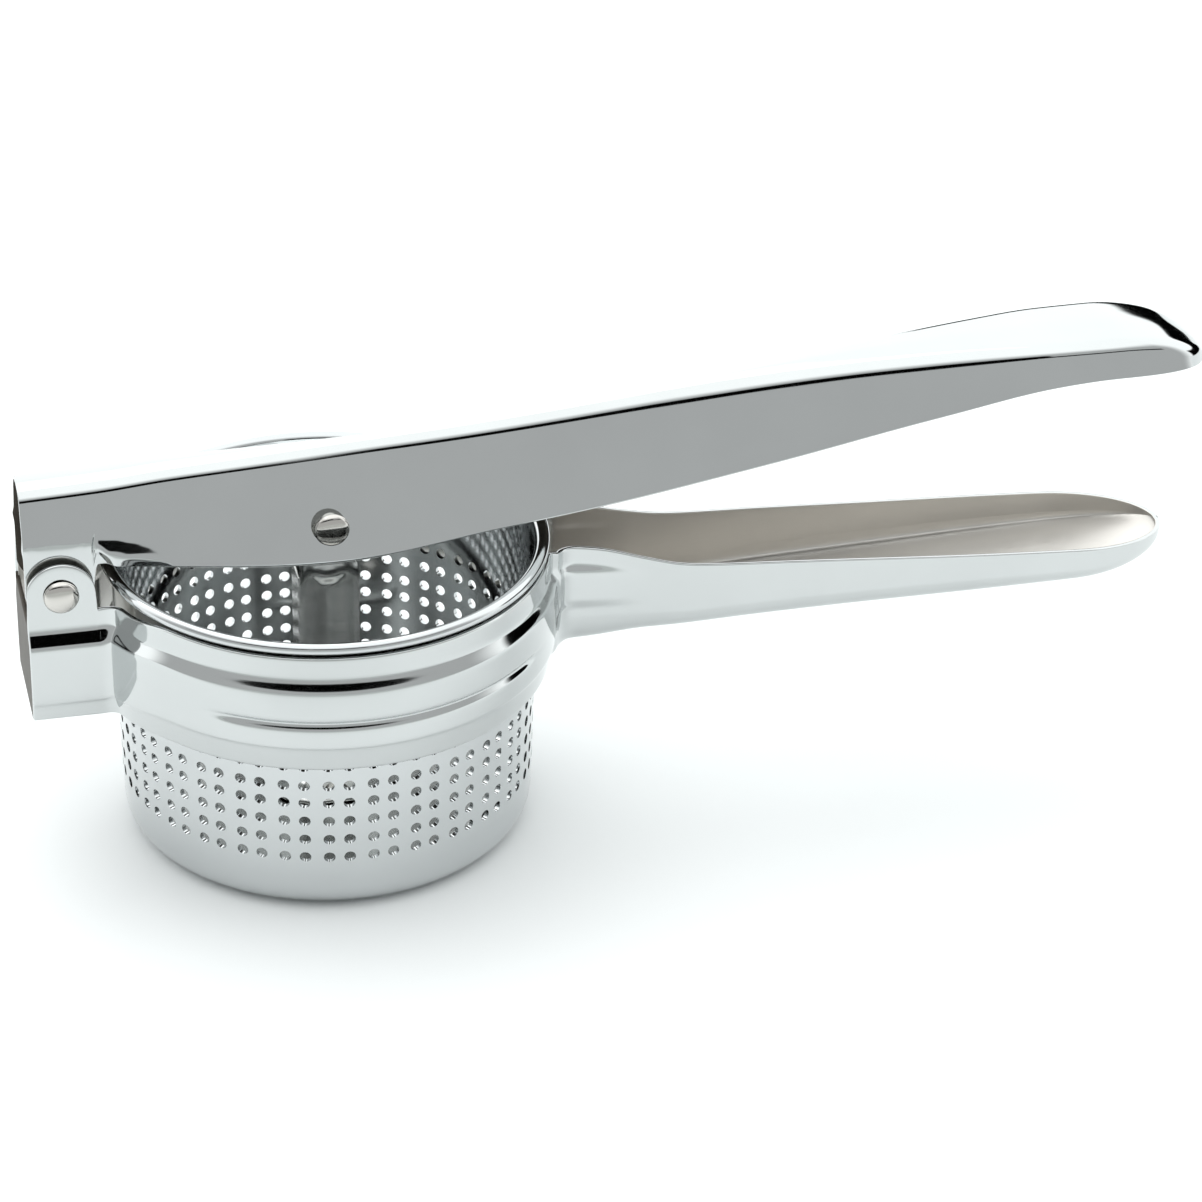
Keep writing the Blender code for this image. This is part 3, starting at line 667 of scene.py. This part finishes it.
def top_profile(last_row):
    """(radius, height) points of the inner skin, from the last holes up and over the rolled bead."""
    points = [(wall_radius(z), z) for z in [last_row] + PLAIN_WALL_HEIGHTS] + RIM_CURVE
    for degrees in range(100, -141, -20):
        angle = math.radians(degrees)
        points.append((BEAD_CENTER + BEAD_RADIUS * math.cos(angle), RIM_HEIGHT + BEAD_RADIUS * math.sin(angle)))
    return points


def make_basket(material):
    """A pressed cup with a rolled rim; the inner skin is drawn, and thickened outwards."""
    bm = bmesh.new()
    angles = around(CELL_SIDE_STEPS)
    rows = row_edges()
    floor_radius = wall_radius(0) - (BASKET_CORNER - SHEET)
    plain_rings(bm, bottom_profile(floor_radius, rows[0]), angles)
    perforated_wall(bm)
    plain_rings(bm, top_profile(rows[-1]), angles)
    perforated_floor(bm, floor_radius, angles)
    bmesh.ops.remove_doubles(bm, verts=bm.verts, dist=MERGE_DISTANCE)
    bmesh.ops.recalc_face_normals(bm, faces=bm.faces)
    middle_face = min(bm.faces, key=lambda f: (f.calc_center_median() - Vector((0, 0, SHEET))).length)
    if middle_face.normal.z < 0:
        bmesh.ops.reverse_faces(bm, faces=bm.faces)
    mesh = bpy.data.meshes.new("ricer_basket")
    bm.to_mesh(mesh)
    bm.free()
    item = add_object("ricer_basket", mesh, material)
    thicken(item)
    mesh.shade_smooth()
    keep_sharp(item)
    return item


def keep_sharp(item):
    """Smooth shading with crisp sheet edges, as evaluated after the sheet is thickened."""
    graph = bpy.context.evaluated_depsgraph_get()
    final = bpy.data.meshes.new_from_object(item.evaluated_get(graph))
    item.modifiers.clear()
    item.data = final
    final.set_sharp_from_angle(angle=SHEET_SHARP_ANGLE)


# ---------------------------------------------------------------- plunger

def stem_column(point, out, ear):
    """One upright strip of the plunger stem, from its upper edge down and outwards along the foot."""
    foot_top = DISC_BOTTOM + SHEET + RUNNING_GAP + SHEET
    reach = max(STEM_HALF_WIDTH**2 - point[0] ** 2, 0.0)
    top = PLUNGER_Z + math.sqrt(reach) if ear else STEM_WEB_TOP
    flare = STEM_EAR_HALF_DEPTH - STEM_HALF_DEPTH
    off_center = abs(point[0]) / STEM_HALF_WIDTH
    rib = STEM_RIB_DEPTH * max(1 - off_center / 0.9, 0.0)
    rib_start = STEM_RIB_CREST + STEM_RIB_SPREAD * off_center**1.6
    rows = []
    heights = [top, top - 0.4 * MM] + [top + (54 * MM - top) * i / 16 for i in range(1, 17)]
    heights += [(50 - 8.5 * i) * MM for i in range(5)] + [foot_top + 3 * MM, foot_top + 1 * MM]
    for height in heights:
        sink = rib * smooth(-height, -rib_start, -rib_start + 1.6 * MM)
        sink *= smooth(height, foot_top + 1 * MM, foot_top + 5 * MM)
        bend = flare * smooth(height, *STEM_BEND)
        rows.append((height, bend - sink if ear else 0.0))
    rows += [(foot_top + 0.3 * MM, 0.3 * MM), (foot_top, 1 * MM), (foot_top, FOOT_LENGTH - 0.5 * MM),
             (foot_top, FOOT_LENGTH)]
    return [(point[0] + out[0] * shift, point[1] + out[1] * shift, height) for height, shift in rows]


def make_stem(material):
    """A channel of folded sheet, open towards the grips, with ears on the plunger rivet and a flat foot."""
    left = -STEM_HALF_WIDTH
    columns = []
    for y in (0.0, -2.2 * MM, -STEM_HALF_DEPTH + 0.9 * MM):
        columns.append(stem_column((left, y), (-1, 0), False))
    columns.append(stem_column((left + 0.3 * MM, -STEM_HALF_DEPTH + 0.3 * MM), (-0.7, -0.7), False))
    for i in range(25):
        share = -0.86 + 1.86 * i / 24
        columns.append(stem_column((share * STEM_HALF_WIDTH, -STEM_HALF_DEPTH), (0, -1), True))
    return pressed_sheet("ricer_stem", columns, material, 1)


def make_disc(material):
    """Pressing disc: a flat plate with a turned-up lip."""
    low = DISC_BOTTOM
    corner = (DISC_RADIUS - DISC_CORNER, low + DISC_CORNER)
    inner = DISC_CORNER - SHEET
    turns = [math.pi / 2 * i / 8 for i in range(9)]
    profile = [(0.0, low)]
    profile += [(corner[0] + DISC_CORNER * math.sin(t), corner[1] - DISC_CORNER * math.cos(t)) for t in turns]
    top = low + DISC_LIP_HEIGHT
    profile += [(DISC_RADIUS, top - EDGE_EASE), (DISC_RADIUS - EDGE_EASE, top),
                (DISC_RADIUS - SHEET + EDGE_EASE, top), (DISC_RADIUS - SHEET, top - EDGE_EASE)]
    profile += [(corner[0] + inner * math.sin(t), corner[1] - inner * math.cos(t)) for t in reversed(turns)]
    profile.append((0.0, low + SHEET))
    return turned("ricer_disc", profile, Vector((DISC_CENTER_X, 0, 0)), (0, 0, 1), material, 128)


# ---------------------------------------------------------------- fasteners

def dome(radius, height, base, sign):
    """Points of a low domed head, from its rim to the axis."""
    points = [(radius, base + sign * 0.12 * height)]
    steps = 10
    for i in range(steps):
        angle = math.pi / 2 * i / steps
        points.append((radius * (0.97 * math.cos(angle)), base + sign * (0.2 + 0.8 * math.sin(angle)) * height))
    return points + [(0.0, base + sign * height)]


def rivet(name, center, axis, low, high, radius, head_radius, head_height, material):
    """A solid rivet whose shank runs from low to high along its axis, with a domed head at each end."""
    lower = dome(head_radius, head_height, low, -1)[::-1]
    upper = dome(head_radius, head_height, high, 1)
    profile = lower + [(head_radius, low), (radius, low), (radius, high), (head_radius, high)] + upper
    return turned(name, profile, Vector(center), axis, material, 48)


def sleeve(name, x, z, half_length, material):
    """Spacer tube on a rivet, between two sheet walls."""
    profile = [(PIN_HOLE_RADIUS, -half_length), (SLEEVE_RADIUS, -half_length), (SLEEVE_RADIUS, half_length),
               (PIN_HOLE_RADIUS, half_length)]
    return turned(name, profile, Vector((x, 0, z)), (0, -1, 0), material, 40)


def make_fasteners(material):
    """Every rivet and sleeve: (piece, CAD node, CAD body)."""
    ear_face = BRACKET_HALF_WIDTH - EAR_INSET + RUNNING_GAP
    hinge = (HINGE_X, 0, HINGE_Z)
    across = (0, -1, 0)
    made = [
        (rivet("ricer_hinge_rivet", hinge, across, -ear_face, ear_face, PIN_RADIUS, RIVET_HEAD_RADIUS,
               RIVET_HEAD_HEIGHT, material), "hinge_rivet", "frame"),
        (sleeve("ricer_hinge_sleeve", HINGE_X, HINGE_Z, LEVER_LUG_HALF_WIDTH - SHEET - 2 * RUNNING_GAP, material),
         "hinge_sleeve", "lever"),
        (rivet("ricer_plunger_rivet", (0, 0, PLUNGER_Z), across, -LEVER_RIVET_FACE, LEVER_RIVET_FACE, PIN_RADIUS,
               RIVET_HEAD_RADIUS, RIVET_HEAD_HEIGHT, material), "plunger_rivet", "lever"),
        (sleeve("ricer_plunger_sleeve", 0, PLUNGER_Z, STEM_EAR_HALF_DEPTH - SHEET - RUNNING_GAP, material),
         "plunger_sleeve", "plunger"),
    ]
    low = DISC_BOTTOM - RUNNING_GAP
    high = DISC_BOTTOM + 2 * SHEET + 2 * RUNNING_GAP
    places = {"near": (0, -FOOT_RIVET_DISTANCE, 0), "far": (0, FOOT_RIVET_DISTANCE, 0),
              "left": (-FOOT_RIVET_DISTANCE - 0.9 * MM, 0, 0)}
    for name, place in places.items():
        head = rivet("ricer_foot_rivet_" + name, place, (0, 0, 1), low, high, FOOT_RIVET_RADIUS, FOOT_HEAD_RADIUS,
                     FOOT_HEAD_HEIGHT, material)
        made.append((head, "foot_rivet_" + name, "plunger"))
    return made


# ---------------------------------------------------------------- materials

def new_material(name, metallic):
    """A material with its node tree, its links and its shader."""
    material = bpy.data.materials.new(name)
    material.use_nodes = True
    tree = material.node_tree
    shader = tree.nodes["Principled BSDF"]
    shader.inputs["Metallic"].default_value = metallic
    return material, tree.nodes, tree.links, shader


def noise_node(nodes, links, place, scale, detail):
    """Noise at a place; returns its value."""
    noise = nodes.new("ShaderNodeTexNoise")
    noise.inputs["Scale"].default_value = scale
    noise.inputs["Detail"].default_value = detail
    links.new(place, noise.inputs["Vector"])
    return noise.outputs["Fac"]


def mix_node(nodes, links, share, first, second):
    """A color between first and second."""
    mix = nodes.new("ShaderNodeMix")
    mix.data_type = "RGBA"
    mix.inputs["A"].default_value = (*first, 1)
    mix.inputs["B"].default_value = (*second, 1)
    links.new(share, mix.inputs["Factor"])
    return mix.outputs["Result"]


def turned_place(nodes, links, place):
    """The x, y and z of a place in axes turned about Z so that y points away from the viewer's side."""
    turn = nodes.new("ShaderNodeVectorRotate")
    turn.rotation_type = "Z_AXIS"
    turn.inputs["Angle"].default_value = math.atan2(VIEW_DIRECTION.x, VIEW_DIRECTION.y)
    links.new(place, turn.inputs["Vector"])
    split = nodes.new("ShaderNodeSeparateXYZ")
    links.new(turn.outputs["Vector"], split.inputs["Vector"])
    return [split.outputs[axis] for axis in "XYZ"]


def add_shades(nodes, links, place, tint, shader):
    """Small changes of tone over the plate."""
    shades = nodes.new("ShaderNodeValToRGB")
    darker, full = shades.color_ramp.elements
    darker.position = 0.3
    darker.color = (*(0.95 * c for c in tint), 1)
    full.position = 0.7
    full.color = (*tint, 1)
    links.new(noise_node(nodes, links, place, 38.0, 5.0), shades.inputs["Fac"])
    links.new(shades.outputs["Color"], shader.inputs["Base Color"])


def add_polish_marks(nodes, links, place, roughness, shader):
    """Fine marks that run along the object."""
    stretch = nodes.new("ShaderNodeMapping")
    stretch.inputs["Scale"].default_value = (1.0, 6.0, 6.0)
    links.new(place, stretch.inputs["Vector"])
    spread = nodes.new("ShaderNodeMapRange")
    spread.inputs["To Min"].default_value = roughness * 0.7
    spread.inputs["To Max"].default_value = roughness * 1.5
    links.new(noise_node(nodes, links, stretch.outputs["Vector"], 420.0, 6.0), spread.inputs["Value"])
    links.new(spread.outputs["Result"], shader.inputs["Roughness"])


def chrome(name, tint, roughness, waviness):
    """Polished plate: fine polishing marks, small changes of tone, and the slow waves of pressed sheet."""
    material, nodes, links, shader = new_material(name, 1.0)
    place = nodes.new("ShaderNodeTexCoord").outputs["Object"]
    add_shades(nodes, links, place, tint, shader)
    add_polish_marks(nodes, links, place, roughness, shader)
    bump = nodes.new("ShaderNodeBump")
    bump.inputs["Strength"].default_value = waviness
    bump.inputs["Distance"].default_value = 0.6 * MM
    links.new(noise_node(nodes, links, place, 55.0, 1.0), bump.inputs["Height"])
    links.new(bump.outputs["Normal"], shader.inputs["Normal"])
    return material


def painted_shade_steel(name, tint):
    """Painted dark reflection and painted shade: a dark, dull, slightly mottled steel with little specular, on the
    end web and the hidden faces.
    """
    material, nodes, links, shader = new_material(name, 0.0)
    # specular kept low so that no reflection lightens the painted dark colour
    shader.inputs["Specular IOR Level"].default_value = 0.1
    shader.inputs["Roughness"].default_value = 0.45
    mottle = noise_node(nodes, links, nodes.new("ShaderNodeTexCoord").outputs["Object"], 160.0, 3.0)
    dark = [0.6 * part for part in tint]
    light = [1.5 * part for part in tint]
    links.new(mix_node(nodes, links, mottle, dark, light), shader.inputs["Base Color"])
    return material


def floor_with_painted_shade():
    """Pale matte surface with painted shade that darkens it towards the front of the studio."""
    material, nodes, links, shader = new_material("pale_floor_painted_shade", 0.0)
    shader.inputs["Roughness"].default_value = 0.85
    shader.inputs["Specular IOR Level"].default_value = 0.1
    depth = turned_place(nodes, links, nodes.new("ShaderNodeTexCoord").outputs["Object"])[1]
    # painted shade: the floor colour darkens towards the front of the studio
    fade = ramp_node(nodes, links, depth, -0.32, -0.09)
    links.new(mix_node(nodes, links, fade, (0.52, 0.54, 0.53), (0.93, 0.95, 0.95)), shader.inputs["Base Color"])
    return material


# ---------------------------------------------------------------- studio

def math_node(nodes, links, operation, *values):
    """One math node; each value is a number or another node's output."""
    node = nodes.new("ShaderNodeMath")
    node.operation = operation
    for socket, value in zip(node.inputs, values):
        if isinstance(value, (int, float)):
            socket.default_value = value
        else:
            links.new(value, socket)
    return node.outputs[0]


def ramp_node(nodes, links, value, start, end):
    """0 below start, 1 above end, with a smooth rise between."""
    node = nodes.new("ShaderNodeMapRange")
    node.interpolation_type = "SMOOTHSTEP"
    node.inputs["From Min"].default_value = start
    node.inputs["From Max"].default_value = end
    links.new(value, node.inputs["Value"])
    return node.outputs["Result"]


def window_node(nodes, links, value, rise, fall):
    """1 between rise and fall, each a (start, end) pair, and 0 outside them."""
    negative = math_node(nodes, links, "MULTIPLY", value, -1.0)
    falling = ramp_node(nodes, links, negative, -fall[1], -fall[0])
    return math_node(nodes, links, "MULTIPLY", ramp_node(nodes, links, value, *rise), falling)


def dark_openings(nodes, links, side, z):
    """Where the studio is dark, by the angle to the side of the front and by height."""
    front = window_node(nodes, links, side, (-0.71, -0.68), (0.44, 0.47))
    dark = math_node(nodes, links, "MULTIPLY", front, window_node(nodes, links, z, (0.405, 0.42), (0.58, 0.62)))
    for bar in (-0.41, -0.06):
        offset = math_node(nodes, links, "ABSOLUTE", math_node(nodes, links, "SUBTRACT", side, bar))
        gap = math_node(nodes, links, "GREATER_THAN", offset, 0.014)
        dark = math_node(nodes, links, "MULTIPLY", dark, gap)
    wide = math_node(nodes, links, "LESS_THAN", math_node(nodes, links, "ABSOLUTE", side), 1.2)
    strip = math_node(nodes, links, "MULTIPLY", window_node(nodes, links, z, (0.405, 0.42), (0.48, 0.50)), wide)
    low = ramp_node(nodes, links, math_node(nodes, links, "MULTIPLY", z, -1.0), -0.27, -0.23)
    behind = math_node(nodes, links, "MULTIPLY", ramp_node(nodes, links, side, 1.65, 1.75), low)
    for other in (strip, behind):
        dark = math_node(nodes, links, "MAXIMUM", dark, other)
    return dark


def make_world():
    """A bright sweep behind and above, a greyer room in front, and dark openings between."""
    world = bpy.data.worlds.new("studio")
    bpy.context.scene.world = world
    world.use_nodes = True
    nodes = world.node_tree.nodes
    links = world.node_tree.links
    x, y, z = turned_place(nodes, links, nodes.new("ShaderNodeTexCoord").outputs["Generated"])
    back = ramp_node(nodes, links, y, -0.25, 0.15)
    high = ramp_node(nodes, links, z, 0.62, 0.85)
    level = math_node(nodes, links, "MULTIPLY_ADD", math_node(nodes, links, "MAXIMUM", back, high), 1.0, 0.62)
    side = math_node(nodes, links, "ARCTAN2", x, math_node(nodes, links, "MULTIPLY", y, -1.0))
    keep = math_node(nodes, links, "SUBTRACT", 1.0, dark_openings(nodes, links, side, z))
    shade = nodes["Background"]
    shade.inputs["Color"].default_value = (0.98, 1.0, 1.0, 1)
    links.new(math_node(nodes, links, "MULTIPLY", level, keep), shade.inputs["Strength"])


def make_floor():
    """A large pale floor just under the object, with painted shade towards the front."""
    mesh = bpy.data.meshes.new("floor")
    half = FLOOR_HALF_SIZE
    mesh.from_pydata([(-half, -half, 0), (half, -half, 0), (half, half, 0), (-half, half, 0)], [], [(0, 1, 2, 3)])
    floor = add_object("floor", mesh, floor_with_painted_shade())
    floor.location.z = -FLOOR_GAP


def make_light():
    """One broad soft lamp above and behind the object."""
    lamp = bpy.data.lights.new("soft_lamp", "AREA")
    lamp.shape = "RECTANGLE"
    lamp.size = 1.2
    lamp.size_y = 0.8
    lamp.energy = 3.0
    item = bpy.data.objects.new("soft_lamp", lamp)
    item.location = (-0.2, 0.7, 1.2)
    item.rotation_euler = (Vector((0.05, 0, 0)) - item.location).to_track_quat("-Z", "Y").to_euler()
    bpy.context.scene.collection.objects.link(item)


def make_camera():
    data = bpy.data.cameras.new("camera")
    data.lens = CAMERA_LENS
    data.sensor_width = 36.0
    data.clip_start = 0.01
    data.clip_end = 50.0
    camera = bpy.data.objects.new("camera", data)
    bpy.context.scene.collection.objects.link(camera)
    aim = VIEW_DIRECTION.to_track_quat("-Z", "Y").to_matrix().to_4x4()
    camera.matrix_world = Matrix.Translation(CAMERA_PLACE) @ aim @ Matrix.Rotation(CAMERA_ROLL, 4, "Z")
    bpy.context.scene.camera = camera


# ---------------------------------------------------------------- assembly

def place_piece(piece, node, body):
    """Tie a visual piece to its body, and hide the CAD node it stands for."""
    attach(piece, body)
    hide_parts(node)


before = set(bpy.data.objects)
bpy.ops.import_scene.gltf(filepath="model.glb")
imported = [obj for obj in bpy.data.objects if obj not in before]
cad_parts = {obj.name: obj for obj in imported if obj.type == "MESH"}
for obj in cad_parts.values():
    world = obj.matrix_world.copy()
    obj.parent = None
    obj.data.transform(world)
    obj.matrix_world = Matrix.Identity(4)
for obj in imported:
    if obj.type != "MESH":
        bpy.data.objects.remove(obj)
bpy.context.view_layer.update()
bpy.context.scene.view_settings.view_transform = "Standard"
make_camera()
make_world()
make_floor()
make_light()
frame_chrome = chrome("frame_chrome", (0.60, 0.62, 0.62), 0.06, 0.03)
basket_chrome = chrome("basket_chrome", (0.61, 0.63, 0.635), 0.08, 0.02)
plunger_chrome = chrome("plunger_chrome", (0.52, 0.53, 0.52), 0.16, 0.04)
rivet_steel = chrome("rivet_steel", (0.62, 0.60, 0.57), 0.10, 0.08)
# painted dark reflection on the frame's end web and painted shade on the lever's inner skin
inner_steel = painted_shade_steel("inner_steel", (0.075, 0.066, 0.055))
inner_chrome = chrome("inner_chrome", (0.70, 0.68, 0.645), 0.34, 0.02)
place_piece(make_frame(frame_chrome, inner_steel, inner_chrome), "frame", "frame")
place_piece(make_lever(frame_chrome, inner_steel), "lever", "lever")
place_piece(make_basket(basket_chrome), "basket", "frame")
place_piece(make_stem(plunger_chrome), "plunger_stem", "plunger")
place_piece(make_disc(plunger_chrome), "plunger_disc", "plunger")
for fastener, cad_node, cad_body in make_fasteners(rivet_steel):
    place_piece(fastener, cad_node, cad_body)
